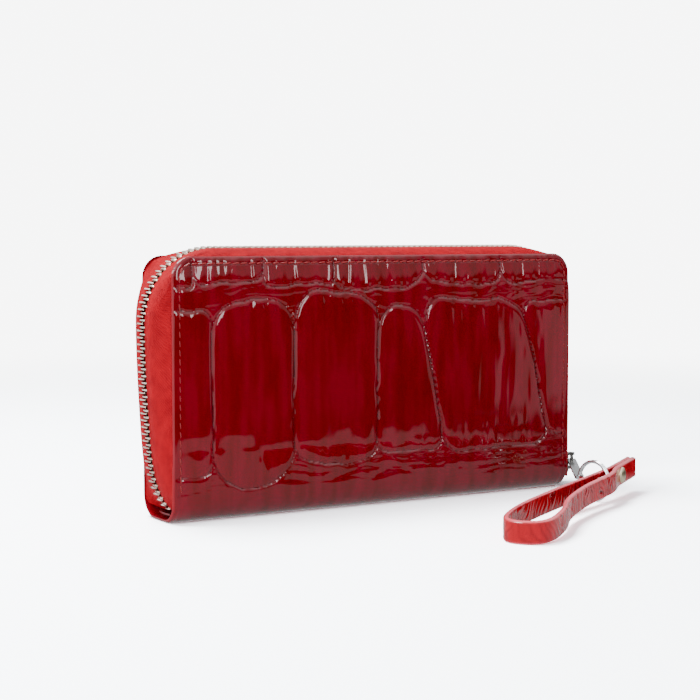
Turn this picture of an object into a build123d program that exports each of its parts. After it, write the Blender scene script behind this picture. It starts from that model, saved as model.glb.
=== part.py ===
from build123d import *
from math import atan2, cos, degrees, pi, radians, sin
import os

# Driving dimensions, in millimetres. X runs along the spine, -Y is the front, +Z is up.
COVER_W = 184.0        # cover, along the spine
COVER_H = 100.0        # cover, from the table to its top edge
DEPTH = 28.6           # outside of one cover to the outside of the other
CORNER_R = 8.0         # the cover's two top corners
FOLD_R = 9.0           # the spine's rolled edges
LEATHER = 1.2
BOARD = 1.0
LINING = 0.6
HINGE_Z = 9.5          # height at which each cover bends away from the spine
HINGE_GAP = 0.8        # leather left open above and below the bend line
INNER_R = 13.0         # their corners are rounder, to clear the zip tape
BAND_INSET = 2.0       # how far the inner layers stay in from the cover's edge
LINING_INSET = 5.0
BOARD_INSET = 6.0
LINING_LOW = HINGE_Z + 2.0

CHAIN_X = 97.7         # zip chain's centre line at the two ends
CHAIN_Z = 102.6        # and along the top
CHAIN_R = 28.0         # and round the corners
CHAIN_LOW = 20.0       # the halves' own chain starts here, above the tails
TAIL_LOW = 2.1         # the tails turn in under the chain here
TAPE = 0.6
TAPE_FLAT = 6.5        # the tape stays in the chain's plane this far from the middle
TAPE_EDGE = 3.0        # where the teeth begin
TOOTH_PITCH = 2.6
TOOTH_THICK = 2.4
TOOTH_INNER = 0.8      # the rows stay this far from the middle, round the slider's post
TOOTH_ALONG = 1.5

SLIDER_Z = 9.0
SLIDER_L = 10.0
SLIDER_W = 9.2
SLIDER_T = 5.2
SLIDER_CORNER_R = 2.0
SLIDER_PLAY = 0.5      # clearance round the teeth and the tape
SLIDER_POST = (4.2, 1.0, 2.6)
SLIDER_POST_Z = -3.2   # post, from the slider's middle
BAIL_X = 105.6         # centre of the bail's outer bar
BAIL_R = 0.7
BAIL_HALF_W = 1.2
BAIL_OUT = 3.6         # outside and inside of the bail, from its middle
BAIL_IN = 2.4
PULL_W = 3.6
PULL_T = 1.2
PULL_HOLE_R = 1.2

STRAP_W = 8.2          # the strap stands on its edge
STRAP_T = 2.4
STRAP_LEN = 133.0
STRAP_RISE = 6.6       # the tab end is lifted this much by the ring
TAB_X, TAB_Y = 107.0, -37.5
LOOP_X, LOOP_Y = -3.6, -107.2
RIVET_S = 18.5         # rivet, along the strap from its tab end
RIVET_R = 3.2
RIVET_SHAFT_R = 1.5
RIVET_BALL_R = 4.6     # the domes are cut from balls of this radius
TAB_END = RIVET_S + 4.0
# The loop's middle line from one side of the tab to the other: along the strap, and in front.
STRAP_ROUTE = [(48, -3.6), (78, -7.4), (106, -9.8), (126, -7.5), (132, 0.5), (126.5, 9.5),
               (104, 8.0), (90, 4.0), (76, 2.6), (60, 2.0), (46, 3.0), (34, 3.6)]
STRAP_BENDS = [60, 60, 90, 8, 8, 7.5, 60, 60, 60, 60, 30, 15]

RING_R = 7.8           # split ring, to the middle of its wire
WIRE_R = 0.6
RING_S = 33.5          # where the ring crosses the strap
RING_O = 1.45          # in front of the strap's middle line, between its two arms
RING_TURN = -81.0      # direction from the pull to the strap, seen from above

CARD_W = 86.4
CARD_T = 0.45
SEAM_HALF = 0.4        # the middle seam between left and right slots
CARD_ROWS = 4
CARD_LOW = 14.0
CARD_FIRST = 56.0      # top edge of the lowest slot
CARD_STEP = 10.0

COIN_W = 164.0
COIN_T = 6.0
COIN_WALL = 0.6
COIN_LOW = 3.0
COIN_TOP = 86.0
COIN_PITCH = 2.0
COIN_TOOTH = (1.1, 1.15, 1.4)   # along the mouth, across it, and up
COIN_GAP = 0.45        # from the middle to a tooth
COIN_SLIDER_X = -72.25
COIN_SLIDER = (7.5, 4.4, 3.8)
COIN_BAIL = (5.0, 1.6, 2.4)
COIN_BAIL_HOLE = (3.0, 4.0, 1.5)
COIN_PULL_X = -73.0    # crossbar of the coin slider's pull
COIN_PULL_Z = 89.0
COIN_PULL = (10.0, 4.4, 0.8)
COIN_BAR_R = 0.5

HALF = DEPTH / 2
SKIN = HALF - LEATHER
ROOM = SKIN - BOARD - LINING
LONG = COVER_W + 80.0

os.makedirs("parts", exist_ok=True)


def save(shape, name):
    export_step(shape, f"parts/{name}.step")


def block(x0, x1, y0, y1, z0, z1):
    middle = ((x0 + x1) / 2, (y0 + y1) / 2, (z0 + z1) / 2)
    return Pos(*middle) * Box(abs(x1 - x0), abs(y1 - y0), abs(z1 - z0))


def arch_face(y, half_w, top, radius, low):
    """Upright face at depth y: straight sides, a flat top and two rounded top corners."""
    plane = Plane(origin=(0, y, 0), x_dir=(1, 0, 0), z_dir=(0, -1, 0))
    shape = Pos(0, (top + low) / 2) * Rectangle(2 * half_w, top - low)
    shape = fillet(shape.vertices().sort_by(Axis.Y)[-2:], radius)
    return plane * shape


def panel(y0, y1, inset, low, radius=CORNER_R):
    """Cover-shaped sheet between two depths, set in from the cover's edge."""
    face = arch_face(y0, COVER_W / 2 - inset, COVER_H - inset, radius - inset / 2, low)
    return extrude(face, y1 - y0, dir=(0, 1, 0))


def mirrored(shape):
    return mirror(shape, about=Plane.XZ)


def spine_leather():
    """U of leather: a flat foot, two rolled edges and the start of each cover."""
    def half_disc(depth, radius, low):
        profile = Pos(0, (low + LONG) / 2) * Rectangle(2 * depth, LONG - low)
        rolled = fillet(profile.vertices().sort_by(Axis.Y)[:2], radius)
        plane = Plane(origin=(-COVER_W / 2, 0, 0), x_dir=(0, 1, 0), z_dir=(1, 0, 0))
        return extrude(plane * rolled, COVER_W)
    shell = half_disc(HALF, FOLD_R, 0.0) - half_disc(SKIN, FOLD_R - LEATHER, LEATHER)
    keep = block(-COVER_W, COVER_W, -HALF - 1, HALF + 1, -1, HINGE_Z - HINGE_GAP)
    return shell & keep


def spine_lining():
    """Lining glued along the flat of the spine, with the coin pocket's seam on it."""
    half_l = COVER_W / 2 - 3
    width = HALF - FOLD_R
    return block(-half_l, half_l, -width, width, LEATHER, LEATHER + LINING)


def coin_bag():
    """Flat open-topped bag, sewn to the spine between the two bill compartments."""
    w, t = COIN_W / 2, COIN_T / 2
    low = LEATHER + LINING
    outer = block(-w, w, -t, t, low, COIN_TOP)
    hollow = block(-w + COIN_WALL, w - COIN_WALL, -t + COIN_WALL, t - COIN_WALL,
                   COIN_LOW, COIN_TOP + 1)
    return outer - hollow


def coin_tape():
    """One of the two tapes across the coin pocket's mouth, sewn on the bag's rim."""
    inner = COIN_GAP + COIN_TOOTH[1]
    return block(-COIN_W / 2, COIN_W / 2, -COIN_T / 2, -inner, COIN_TOP, COIN_TOP + LINING)


def coin_teeth():
    """One row of small moulded teeth along the coin pocket's mouth."""
    spare = 5
    count = int(COIN_W / COIN_PITCH) - spare
    start = -COIN_PITCH * (count - 1) / 2
    length, width, height = COIN_TOOTH
    y = -COIN_GAP - width / 2
    z = COIN_TOP + LINING - 0.2
    row = [Pos(start + i * COIN_PITCH, y, z) * Box(length, width, height) for i in range(count)]
    return Compound(children=row)


def coin_slider():
    """Small slider: two plates joined by a post, with a bail above."""
    length, width, height = COIN_SLIDER
    wall = 0.4
    tunnel = Box(length * 2, width - 2 * wall, COIN_TOOTH[2] + 0.7)
    tape_slit = Pos(0, 0, -0.075) * Box(length * 2, width * 2, LINING + 0.45)
    post = Pos(-2.25, 0, 0) * Box(2.0, 0.6, height - 2 * wall)
    body = Box(length, width, height) - tunnel - tape_slit + post
    bail = Box(*COIN_BAIL) - Pos(0, 0, (COIN_BAIL_HOLE[2] - COIN_BAIL[2]) / 2) * Box(*COIN_BAIL_HOLE)
    bail = Pos(-0.25, 0, (height + COIN_BAIL[2]) / 2) * bail
    return Pos(COIN_SLIDER_X, 0, COIN_TOP + 0.4) * (body + bail)


def coin_pull():
    """Flat pull whose round crossbar passes under the coin slider's bail."""
    length, width, height = COIN_PULL
    end_r = 1.5
    arm = 1.0
    slot_reach = 4.0
    plate = Pos(length / 2, 0, 0) * Box(length, width, height)
    plate = fillet(plate.edges().filter_by(Axis.Z).sort_by(Axis.X)[-2:], end_r)
    plate -= Box(2 * slot_reach, width - 2 * arm, 2 * height)
    bar = Rot(90, 0, 0) * Cylinder(COIN_BAR_R, width)
    return Pos(COIN_PULL_X, 0, COIN_PULL_Z) * (plate + bar)


def cover_leather():
    return panel(-HALF, -SKIN, 0, HINGE_Z + HINGE_GAP)


def cover_board():
    return panel(-SKIN, -SKIN + BOARD, BOARD_INSET, HINGE_Z + 2.5, INNER_R)


def cover_lining():
    return panel(-SKIN + BOARD, -ROOM, LINING_INSET, LINING_LOW, INNER_R)


def cover_edge_band():
    """Turned leather edge round the cover, which holds the zip tape's inner edge."""
    band = panel(-SKIN, -ROOM, BAND_INSET, LINING_LOW, INNER_R)
    return band - panel(-SKIN - 1, -ROOM + 1, LINING_INSET, -LINING_LOW, INNER_R)


def tape_arch(inset):
    """Solid under the tape: a ruled flare from the cover's edge out to the chain."""
    low = -5.0
    set_in = inset + 0.8
    cover = arch_face(-SKIN, COVER_W / 2 - set_in, COVER_H - set_in, CORNER_R, low)
    rise = arch_face(-TAPE_FLAT, CHAIN_X + TAPE / 2 - inset, CHAIN_Z + TAPE / 2 - inset,
                     CHAIN_R, low)
    flare = loft([cover, rise], ruled=True)
    level = extrude(rise, TAPE_FLAT - TAPE_EDGE, dir=(0, 1, 0))
    return flare + level


def cover_tape():
    """Zip tape: a sewn flange, a flare and a flat edge beside the teeth."""
    shell = tape_arch(0.0) - tape_arch(TAPE)
    shell &= block(-LONG, LONG, -HALF, 0, CHAIN_LOW, LONG)
    return shell


def chain_places(pitch, low):
    """Places and directions along the chain: up one end, over the top, down the other."""
    leg = CHAIN_Z - CHAIN_R - low
    arc = CHAIN_R * pi / 2
    top = 2 * (CHAIN_X - CHAIN_R)
    total = 2 * leg + 2 * arc + top
    count = int(total / pitch)
    start = (total - pitch * (count - 1)) / 2
    places = []
    for i in range(count):
        s = start + i * pitch
        if s < leg:
            x, z, turn = -CHAIN_X, low + s, 90.0
        elif s < leg + arc:
            turn = 90.0 - degrees((s - leg) / CHAIN_R)
            x = -CHAIN_X + CHAIN_R - CHAIN_R * sin(radians(turn))
            z = CHAIN_Z - CHAIN_R + CHAIN_R * cos(radians(turn))
        elif s < leg + arc + top:
            x, z, turn = -CHAIN_X + CHAIN_R + s - leg - arc, CHAIN_Z, 0.0
        elif s < leg + 2 * arc + top:
            turn = -degrees((s - leg - arc - top) / CHAIN_R)
            x = CHAIN_X - CHAIN_R - CHAIN_R * sin(radians(turn))
            z = CHAIN_Z - CHAIN_R + CHAIN_R * cos(radians(turn))
        else:
            x, z, turn = CHAIN_X, low + total - s, -90.0
        places.append((x, z, turn))
    return places


def cover_teeth():
    """One row of metal teeth, clamped on the tape's edge all the way round."""
    middle = -(TAPE_EDGE + TOOTH_INNER) / 2
    row = []
    for x, z, turn in chain_places(TOOTH_PITCH, CHAIN_LOW + 1.0):
        tooth = Box(TOOTH_ALONG, TAPE_EDGE - TOOTH_INNER, TOOTH_THICK)
        row.append(Pos(x, middle, z) * Rot(0, -turn, 0) * tooth)
    return Compound(children=row)


def tail_tape(side):
    """Short end of both tapes below the halves, tucked into the spine's open end."""
    x0, x1 = side * (CHAIN_X - TAPE / 2), side * (CHAIN_X + TAPE / 2)
    x_in = side * (COVER_W / 2 - 2.5)
    front = block(x0, x1, -TAPE_FLAT, -TAPE_EDGE, TAIL_LOW, CHAIN_LOW - TAPE)
    tuck = block(x_in, x1, -TAPE_FLAT, -TAPE_EDGE, TAIL_LOW - TAPE, TAIL_LOW)
    both = front + tuck
    return Compound(children=[both, mirrored(both)])


def tail_teeth(side):
    """The last teeth of both rows, below the halves."""
    row = []
    rows = int((CHAIN_LOW - 2 * TAIL_LOW) / TOOTH_PITCH)
    for i in range(rows):
        z = CHAIN_LOW - TAPE - 1.0 - i * TOOTH_PITCH
        tooth = block(side * (CHAIN_X - TOOTH_THICK / 2), side * (CHAIN_X + TOOTH_THICK / 2),
                      -TAPE_EDGE, -TOOTH_INNER, z - TOOTH_ALONG / 2, z + TOOTH_ALONG / 2)
        row += [tooth, mirrored(tooth)]
    return Compound(children=row)


def tail_tab():
    """Leather tongue from the spine's end out under the zip's tail."""
    x0, x1 = COVER_W / 2 - 8, CHAIN_X - TOOTH_THICK / 2 - 1.4
    half_w = 2.6
    return block(x0, x1, -half_w, half_w, LEATHER + LINING, LEATHER + 2 * LINING + LINING)


def slider():
    """Zip slider: outer and inner plates joined by a post, with a bail on the outer one."""
    through = SLIDER_L * 2
    body = Box(SLIDER_T, SLIDER_W, SLIDER_L)
    body = fillet(body.edges().filter_by(Axis.X), SLIDER_CORNER_R)
    body -= Box(TOOTH_THICK + SLIDER_PLAY, 2 * TAPE_EDGE + SLIDER_PLAY, through)
    body -= Box(TAPE + SLIDER_PLAY, through, through)
    post_x, post_y, post_z = SLIDER_POST
    body += Pos(0, 0, SLIDER_POST_Z) * Box(post_x, post_y, post_z)
    body = Pos(CHAIN_X, 0, SLIDER_Z) * body
    root = CHAIN_X + SLIDER_T / 2
    out = BAIL_X + BAIL_R
    bail = block(root - 0.1, out, -BAIL_HALF_W, BAIL_HALF_W, SLIDER_Z - BAIL_OUT, SLIDER_Z + BAIL_OUT)
    window = block(root, out + 1, -SLIDER_W, SLIDER_W, SLIDER_Z - BAIL_IN, SLIDER_Z + BAIL_IN)
    bar = Pos(BAIL_X, 0, SLIDER_Z) * Cylinder(BAIL_R, 2 * BAIL_IN + 0.2)
    return body + (bail - window) + bar


def strap_axes():
    """Direction from the tab to the loop, and the direction to its front."""
    turn = atan2(LOOP_Y - TAB_Y, LOOP_X - TAB_X)
    return (cos(turn), sin(turn)), (-sin(turn), cos(turn))


def on_strap(s, o):
    """Point in plan, s along the strap from its tab end and o in front of its middle."""
    along, front = strap_axes()
    return (TAB_X + s * along[0] + o * front[0], TAB_Y + s * along[1] + o * front[1])


def ring_places():
    """Plan positions of the ring's two sides: at the pull and between the strap's arms."""
    near = on_strap(RING_S, RING_O)
    turn = radians(RING_TURN)
    middle = (near[0] - RING_R * cos(turn), near[1] - RING_R * sin(turn))
    far = (near[0] - 2 * RING_R * cos(turn), near[1] - 2 * RING_R * sin(turn))
    return near, middle, far


def slider_pull():
    """Long flat pull: one eye round the bail's bar, the other round the ring."""
    far = ring_places()[2]
    dx, dy = far[0] - BAIL_X, far[1]
    length = (dx * dx + dy * dy) ** 0.5
    plate = Pos(length / 2, 0) * SlotCenterToCenter(length, PULL_W)
    plate -= Circle(PULL_HOLE_R)
    plate -= Pos(length, 0) * Circle(PULL_HOLE_R)
    solid = extrude(plate, PULL_T / 2, both=True)
    return Pos(BAIL_X, 0, SLIDER_Z) * Rot(0, 0, degrees(atan2(dy, dx))) * solid


def split_ring():
    """Steel ring standing on the table, through the pull and between the strap's arms."""
    middle = ring_places()[1]
    upright = Rot(0, 0, RING_TURN) * Rot(90, 0, 0) * Torus(RING_R, WIRE_R)
    return Pos(middle[0], middle[1], RING_R + WIRE_R) * upright


def strap_leaned(shape):
    """Lays a strap piece from strap axes into place, its tab end lifted a little."""
    turn = degrees(atan2(LOOP_Y - TAB_Y, LOOP_X - TAB_X))
    lean = degrees(atan2(STRAP_RISE, STRAP_LEN))
    shape = Pos(-STRAP_LEN, 0, 0) * shape
    shape = Pos(STRAP_LEN, 0, 0) * (Rot(0, lean, 0) * shape)
    return Pos(TAB_X, TAB_Y, 0) * Rot(0, 0, turn) * shape


def strap():
    """Wrist strap: a teardrop loop of leather on its edge, doubled at its tab."""
    side = STRAP_T / 2
    route = [(TAB_END, -side), *STRAP_ROUTE, (TAB_END, side)]
    loop = trace(FilletPolyline(*route, radius=STRAP_BENDS), STRAP_T)
    tab = Pos(TAB_END / 2, 0) * Rectangle(TAB_END, 2 * STRAP_T)
    solid = extrude(tab + loop, STRAP_W)
    drill = Rot(90, 0, 0) * Cylinder(RIVET_SHAFT_R, STRAP_LEN)
    hole = Pos(RIVET_S, 0, STRAP_W / 2) * drill
    return strap_leaned(solid - hole)


def strap_rivet():
    """Domed rivet through both layers of the tab."""
    r = RIVET_BALL_R
    shaft = Rot(90, 0, 0) * Cylinder(RIVET_SHAFT_R - 0.03, 2 * STRAP_T)
    sunk = (r ** 2 - RIVET_R ** 2) ** 0.5
    dome = Pos(0, 0, -sunk) * Sphere(r) & block(-r, r, -r, r, 0, r)
    front = Rot(90, 0, 0) * Pos(0, 0, STRAP_T) * dome
    back = Rot(-90, 0, 0) * Pos(0, 0, STRAP_T) * dome
    rivet = Pos(RIVET_S, 0, STRAP_W / 2) * (shaft + front + back)
    return strap_leaned(rivet)


def card_slot(row):
    """One row of card slots, left and right of the middle seam."""
    y0 = -ROOM + (CARD_ROWS - 1 - row) * CARD_T
    top = CARD_FIRST + row * CARD_STEP
    right = block(SEAM_HALF, CARD_W, y0, y0 + CARD_T, CARD_LOW, top)
    left = block(-CARD_W, -SEAM_HALF, y0, y0 + CARD_T, CARD_LOW, top)
    return Compound(children=[left, right])


def save_half(prefix, turned):
    """Every piece of one cover, as modelled for the front or mirrored for the back."""
    pieces = {"cover_leather": cover_leather(), "cover_board": cover_board(),
              "cover_lining": cover_lining(), "edge_band": cover_edge_band(),
              "zip_tape": cover_tape(), "zip_teeth": cover_teeth()}
    for row in range(CARD_ROWS):
        pieces[f"card_slots_{row + 1}"] = card_slot(row)
    for name, shape in pieces.items():
        save(mirrored(shape) if turned else shape, f"{prefix}_{name}")


save(spine_leather(), "spine_leather")
save(spine_lining(), "spine_lining")
save(coin_bag(), "coin_pocket_bag")
save(coin_tape(), "coin_tape_front")
save(mirrored(coin_tape()), "coin_tape_back")
save(coin_teeth(), "coin_teeth_front")
save(mirrored(coin_teeth()), "coin_teeth_back")
save(coin_slider(), "coin_slider")
save(coin_pull(), "coin_pull")
save_half("front", False)
save_half("back", True)
for label, side in (("left", -1), ("right", 1)):
    save(tail_tape(side), f"{label}_tail_tape")
    save(tail_teeth(side), f"{label}_tail_teeth")
save(tail_tab(), "right_tail_tab")
save(mirror(tail_tab(), about=Plane.YZ), "left_tail_tab")
save(slider(), "zip_slider")
save(slider_pull(), "slider_pull")
save(split_ring(), "split_ring")
save(strap(), "wrist_strap")
save(strap_rivet(), "strap_rivet")
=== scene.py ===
import bpy
import math
import numpy as np
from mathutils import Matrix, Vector


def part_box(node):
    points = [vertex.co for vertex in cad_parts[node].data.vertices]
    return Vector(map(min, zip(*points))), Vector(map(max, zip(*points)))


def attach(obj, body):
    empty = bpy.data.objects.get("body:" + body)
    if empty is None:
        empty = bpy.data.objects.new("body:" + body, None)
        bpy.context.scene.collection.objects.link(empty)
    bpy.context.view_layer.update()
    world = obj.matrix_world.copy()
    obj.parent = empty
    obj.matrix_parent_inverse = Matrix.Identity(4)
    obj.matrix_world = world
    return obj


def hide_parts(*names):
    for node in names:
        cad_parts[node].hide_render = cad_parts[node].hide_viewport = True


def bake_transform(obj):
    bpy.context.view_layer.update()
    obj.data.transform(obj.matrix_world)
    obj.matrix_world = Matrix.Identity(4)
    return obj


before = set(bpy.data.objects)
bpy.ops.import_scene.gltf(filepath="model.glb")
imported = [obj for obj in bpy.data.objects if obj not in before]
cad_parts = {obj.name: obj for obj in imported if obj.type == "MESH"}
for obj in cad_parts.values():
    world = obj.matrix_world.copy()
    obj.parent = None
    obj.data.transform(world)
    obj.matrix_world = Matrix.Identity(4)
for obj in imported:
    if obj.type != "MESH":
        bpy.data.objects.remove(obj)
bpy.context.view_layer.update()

# Everything below is worked out in millimetres, and MM turns it to metres in the mesh.
MM = 0.001


def corners(node):
    """Lowest and highest corner of a CAD node, in millimetres."""
    low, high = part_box(node)
    return np.array(low) / MM, np.array(high) / MM


cover_low, cover_high = corners("front_cover_leather")
lining_high = corners("front_cover_lining")[1]
teeth_high = corners("front_zip_teeth")[1]
bag_low, bag_high = corners("coin_pocket_bag")

HALF_W = cover_high[0]
TOP = cover_high[2]
FACE = -cover_low[1]
LEATHER = 1.2
FOLD_R = 9.0
CORNER_R = 8.0
FOOT = FACE - FOLD_R
ROLL = FOLD_R * math.pi / 2
TOOTH_THICK = 2.4
CHAIN_X = teeth_high[0] - TOOTH_THICK / 2
CHAIN_Z = teeth_high[2] - TOOTH_THICK / 2
CHAIN_R = 28.0
INNER_R = 10.5
CHAIN_LOW = 3.4
BAND_R = 11.0
EDGE_BAND_W = 2.8
EDGE_BAND_DOME = 0.1
SEAM_IN = 2.75
STITCH_PITCH = 3.35
TAPE = 0.6
TAPE_EDGE = 2.2
TOOTH_PITCH = 2.6
ROOM_LIGHT = 0.55
EYE_WHITE = 7.6
FLOOR_LIT = (3.05, 3.2, 3.35, 1.0)


# ---------------------------------------------------------------- mesh making
def build(name, points, face_sets, material, fields=None, uv=None, sharp=38.0):
    """A mesh from points in millimetres and sets of faces, each set with one corner count.

    A closed mesh whose signed volume is negative has its faces turned round.
    """
    points = np.asarray(points, float).reshape(-1, 3) * MM
    face_sets = [np.asarray(f, np.int64) for f in face_sets if len(f)]
    volume = sum(np.einsum("ij,ij->i", points[f[:, 0]],
                           np.cross(points[f[:, k]], points[f[:, k + 1]])).sum()
                 for f in face_sets for k in range(1, f.shape[1] - 1))
    if volume < 0:
        face_sets = [f[:, ::-1] for f in face_sets]
    loops = np.concatenate([f.ravel() for f in face_sets]).astype(np.int32)
    totals = np.concatenate([np.full(len(f), f.shape[1], np.int32) for f in face_sets])
    starts = np.concatenate([[0], np.cumsum(totals)[:-1]]).astype(np.int32)
    mesh = bpy.data.meshes.new(name)
    mesh.vertices.add(len(points))
    mesh.vertices.foreach_set("co", points.astype(np.float32).ravel())
    mesh.loops.add(len(loops))
    mesh.loops.foreach_set("vertex_index", loops)
    mesh.polygons.add(len(totals))
    mesh.polygons.foreach_set("loop_start", starts)
    mesh.update(calc_edges=True)
    for label, values in (fields or {}).items():
        layer = mesh.attributes.new(label, "FLOAT", "POINT")
        layer.data.foreach_set("value", np.asarray(values, np.float32).ravel())
    if uv is not None:
        layer = mesh.uv_layers.new(name="cloth")
        flat = np.asarray(uv, np.float32).reshape(-1, 2)[loops]
        layer.uv.foreach_set("vector", flat.ravel())
    mesh.polygons.foreach_set("use_smooth", np.ones(len(totals), bool))
    mesh.set_sharp_from_angle(angle=math.radians(sharp))
    mesh.materials.append(material)
    piece = bpy.data.objects.new(name, mesh)
    bpy.context.scene.collection.objects.link(piece)
    return piece


def quads(index):
    """Quads between neighbouring rows and columns of an array of point numbers."""
    cells = [index[:-1, :-1], index[1:, :-1], index[1:, 1:], index[:-1, 1:]]
    return np.stack(cells, -1).reshape(-1, 4)


def rim(index):
    """Point numbers round the border of a grid, in order."""
    return np.concatenate([index[0, :-1], index[:-1, -1], index[-1, :0:-1], index[:0:-1, 0]])


def shell(name, outer, inner, material, step=1, fields=None, uv=None):
    """A closed sheet: a fine outer grid, an inner grid of every step-th point, and its rim."""
    rows, cols = outer.shape[:2]
    a = np.arange(rows * cols).reshape(rows, cols)
    coarse = inner[::step, ::step]
    b = a.size + np.arange(coarse.shape[0] * coarse.shape[1]).reshape(coarse.shape[:2])
    fine, thin = rim(a), rim(b)
    strip = [np.roll(fine, -k)[::step] for k in range(step + 1)]
    edge = np.stack(strip[::-1] + [thin, np.roll(thin, -1)], -1)
    both = {}
    for label, values in (fields or {}).items():
        both[label] = np.concatenate([values.ravel(), values[::step, ::step].ravel()])
    if uv is not None:
        uv = np.concatenate([uv.reshape(-1, 2), uv[::step, ::step].reshape(-1, 2)])
    points = np.concatenate([outer.reshape(-1, 3), coarse.reshape(-1, 3)])
    return build(name, points, [quads(a), quads(b)[:, ::-1], edge], material, both, uv)


def tube(name, rings, material, closed=False, fields=None, uv=None, sharp=38.0):
    """Closed rings of points joined in a row. The row is closed on itself or has flat ends."""
    rows, cols = rings.shape[:2]
    index = np.arange(rows * cols).reshape(rows, cols)
    index = np.hstack([index, index[:, :1]])
    ends = []
    if closed:
        index = np.vstack([index, index[:1]])
    else:
        ends = [index[0, :-1][None, :], index[-1, -2::-1][None, :]]
    return build(name, rings, [quads(index), *ends], material, fields, uv, sharp)


def repeated(name, shape, faces, places, material, sharp=30.0):
    """Copies of one small shape, each at its place: an origin and three axes."""
    origins, axes = places
    points = origins[:, None, :] + np.einsum("pk,nkj->npj", shape, axes)
    offsets = np.arange(len(origins))[:, None, None] * len(shape)
    sets = [(np.asarray(f)[None] + offsets).reshape(-1, np.asarray(f).shape[1]) for f in faces]
    return build(name, points, sets, material, sharp=sharp)


def normals(grid):
    """Unit normals of a grid of points, from its differences along rows and columns."""
    across = np.cross(np.gradient(grid, axis=0), np.gradient(grid, axis=1))
    return across / np.maximum(np.linalg.norm(across, axis=-1, keepdims=True), 1e-9)


def run_length(first, second):
    """Distance along a path from its first point to each point, as a running sum."""
    return np.concatenate([[0], np.cumsum(np.hypot(np.diff(first), np.diff(second)))])


def wobble(x, z, seed):
    """Smooth unevenness from -1 to 1: five sines of unlike lengths and directions."""
    total = np.zeros(np.broadcast(x, z).shape)
    for k in range(5):
        turn = seed * 1.7 + k * 2.4
        length = 19.0 / (1.0 + 0.55 * k)
        total = total + np.sin((x * math.cos(turn) + z * math.sin(turn)) / length + seed * k)
    return total / 5


def lattice_noise(x, z, size, seed):
    """Uneven values from -1 to 1: seeded random numbers on a lattice whose cells have the
    given width and height, eased between the four corners of each cell."""
    table = np.random.default_rng(seed).uniform(-1, 1, (64, 64))
    u, v = x / size[0] + 31.5, z / size[1] + 17.3
    i, j = np.floor(u).astype(int), np.floor(v).astype(int)
    a, b = ease(u - i), ease(v - j)
    i, j = i % 64, j % 64
    k, m = (i + 1) % 64, (j + 1) % 64
    low = table[i, j] * (1 - a) + table[k, j] * a
    high = table[i, m] * (1 - a) + table[k, m] * a
    return low * (1 - b) + high * b


def ease(x):
    """0 below 0, 1 above 1, smooth between."""
    x = np.clip(x, 0, 1)
    return x * x * (3 - 2 * x)


# ---------------------------------------------------------------- materials

def linear(code):
    """A linear colour from an sRGB hex code."""
    parts = [int(code[i:i + 2], 16) / 255 for i in (1, 3, 5)]
    return [c / 12.92 if c <= 0.04045 else ((c + 0.055) / 1.055) ** 2.4 for c in parts] + [1.0]


def add(tree, kind, inputs=None, stops=(), **settings):
    """Adds a node with its properties, and fills its inputs with values, or with links from a
    socket or from a node's first output. Stops are the places and hex colours of a ramp."""
    node = tree.nodes.new(kind)
    for name, value in settings.items():
        setattr(node, name, value)
    for key, value in (inputs or {}).items():
        if isinstance(value, bpy.types.Node):
            value = value.outputs[0]
        if isinstance(value, bpy.types.NodeSocket):
            tree.links.new(value, node.inputs[key])
        else:
            node.inputs[key].default_value = value
    for number, (place, code) in enumerate(stops):
        element = node.color_ramp.elements[number]
        element.position = place
        element.color = linear(code)
    return node


def worked_out(tree, known, steps):
    """Adds one node per step, and returns the last result. A step has its result's name, an
    operation, and terms that are numbers or earlier names. FADE runs smoothly from 0 at its
    second term to 1 at its third."""
    for name, operation, *terms in steps:
        terms = [known[term] if isinstance(term, str) else term for term in terms]
        if operation == "FADE":
            ends = dict(zip(("Value", "From Min", "From Max"), terms))
            node = add(tree, "ShaderNodeMapRange", ends, interpolation_type="SMOOTHSTEP")
        else:
            node = add(tree, "ShaderNodeMath", dict(enumerate(terms)), operation=operation)
        known[name] = node
    return node


def blank_material(name):
    """A material without nodes, and its tree."""
    material = bpy.data.materials.new(name)
    material.use_nodes = True
    material.node_tree.nodes.clear()
    return material, material.node_tree


def object_noise(tree, size_mm, detail=3.0, stretch=(1, 1, 1)):
    """Noise on Object coordinates whose features are size_mm across."""
    place = add(tree, "ShaderNodeTexCoord").outputs["Object"]
    scale = [s / (size_mm * MM) for s in stretch]
    mapped = add(tree, "ShaderNodeMapping", {"Vector": place, "Scale": scale})
    return add(tree, "ShaderNodeTexNoise", {"Vector": mapped, "Scale": 1.0, "Detail": detail})


def finished(material, normal_height, depth_mm, looks, after=None):
    """Raises the surface by a height map, depth_mm from its lowest to its highest, and gives
    the shader its looks. After is a coarser raised surface that it follows."""
    tree = material.node_tree
    rise = {"Height": normal_height, "Distance": depth_mm * MM, "Strength": 1.0}
    if after:
        rise["Normal"] = after
    looks["Normal"] = add(tree, "ShaderNodeBump", rise)
    shader = add(tree, "ShaderNodeBsdfPrincipled", looks)
    add(tree, "ShaderNodeOutputMaterial", {"Surface": shader})
    return material


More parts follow.
